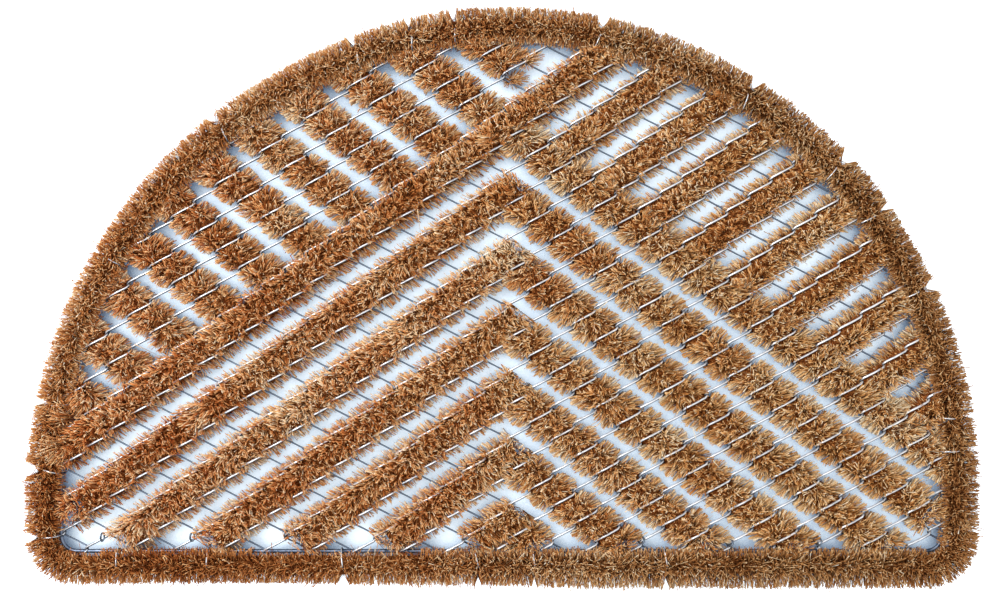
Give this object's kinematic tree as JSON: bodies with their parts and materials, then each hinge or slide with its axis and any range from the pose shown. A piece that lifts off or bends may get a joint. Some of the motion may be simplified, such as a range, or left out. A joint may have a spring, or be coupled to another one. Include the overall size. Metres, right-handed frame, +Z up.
{
  "type": "coir doormat",
  "caption": "Half-round coir wire-brush doormat: rows of brush in a diamond wire mesh laid as nested chevrons, inside a bent brush border.",
  "frame": {"origin": "middle of the bounding box, on the floor the mat lies on", "axes": "+X along the flat edge to the right, +Y from the flat edge towards the crown, +Z up through the pile"},
  "size_m": [0.75, 0.4544, 0.024],
  "materials": {
    "coir_rows": "rough natural coir brush, golden tan to rust brown, tips lighter than roots",
    "coir_border": "rough natural coir brush, a little browner than the rows",
    "frame_rod": "dull galvanized zinc"
  },
  "bodies": {
    "root": {"arm_left_02": "coir_rows", "arm_left_04": "coir_rows", "arm_left_06": "coir_rows", "arm_left_08": "coir_rows", "arm_left_10": "coir_rows", "arm_left_12": "coir_rows", "arm_left_14": "coir_rows", "arm_right_02": "coir_rows", "arm_right_04": "coir_rows", "arm_right_06": "coir_rows", "arm_right_08": "coir_rows", "arm_right_10": "coir_rows", "arm_right_12": "coir_rows", "arm_right_14": "coir_rows", "border_01": "coir_border", "border_02": "coir_border", "border_03": "coir_border", "border_04": "coir_border", "border_05": "coir_border", "border_06": "coir_border", "border_07": "coir_border", "border_08": "coir_border", "border_09": "coir_border", "border_10": "coir_border", "border_11": "coir_border", "border_12": "coir_border", "border_13": "coir_border", "border_14": "coir_border", "border_15": "coir_border", "border_16": "coir_border", "border_17": "coir_border", "border_18": "coir_border", "border_19": "coir_border", "border_20": "coir_border", "border_21": "coir_border", "crown": "coir_rows", "frame_rod": "frame_rod", "upper_left_02": "coir_rows", "upper_left_04": "coir_rows", "upper_left_06": "coir_rows", "upper_left_08": "coir_rows", "upper_left_10": "coir_rows", "upper_left_12": "coir_rows", "upper_left_14": "coir_rows", "upper_left_16": "coir_rows", "upper_left_18": "coir_rows", "upper_left_20": "coir_rows", "upper_right_04": "coir_rows", "upper_right_06": "coir_rows", "upper_right_08": "coir_rows", "upper_right_10": "coir_rows", "upper_right_12": "coir_rows", "upper_right_14": "coir_rows", "upper_right_16": "coir_rows", "upper_right_18": "coir_rows", "upper_right_20": "coir_rows"}
  },
  "joints": []
}
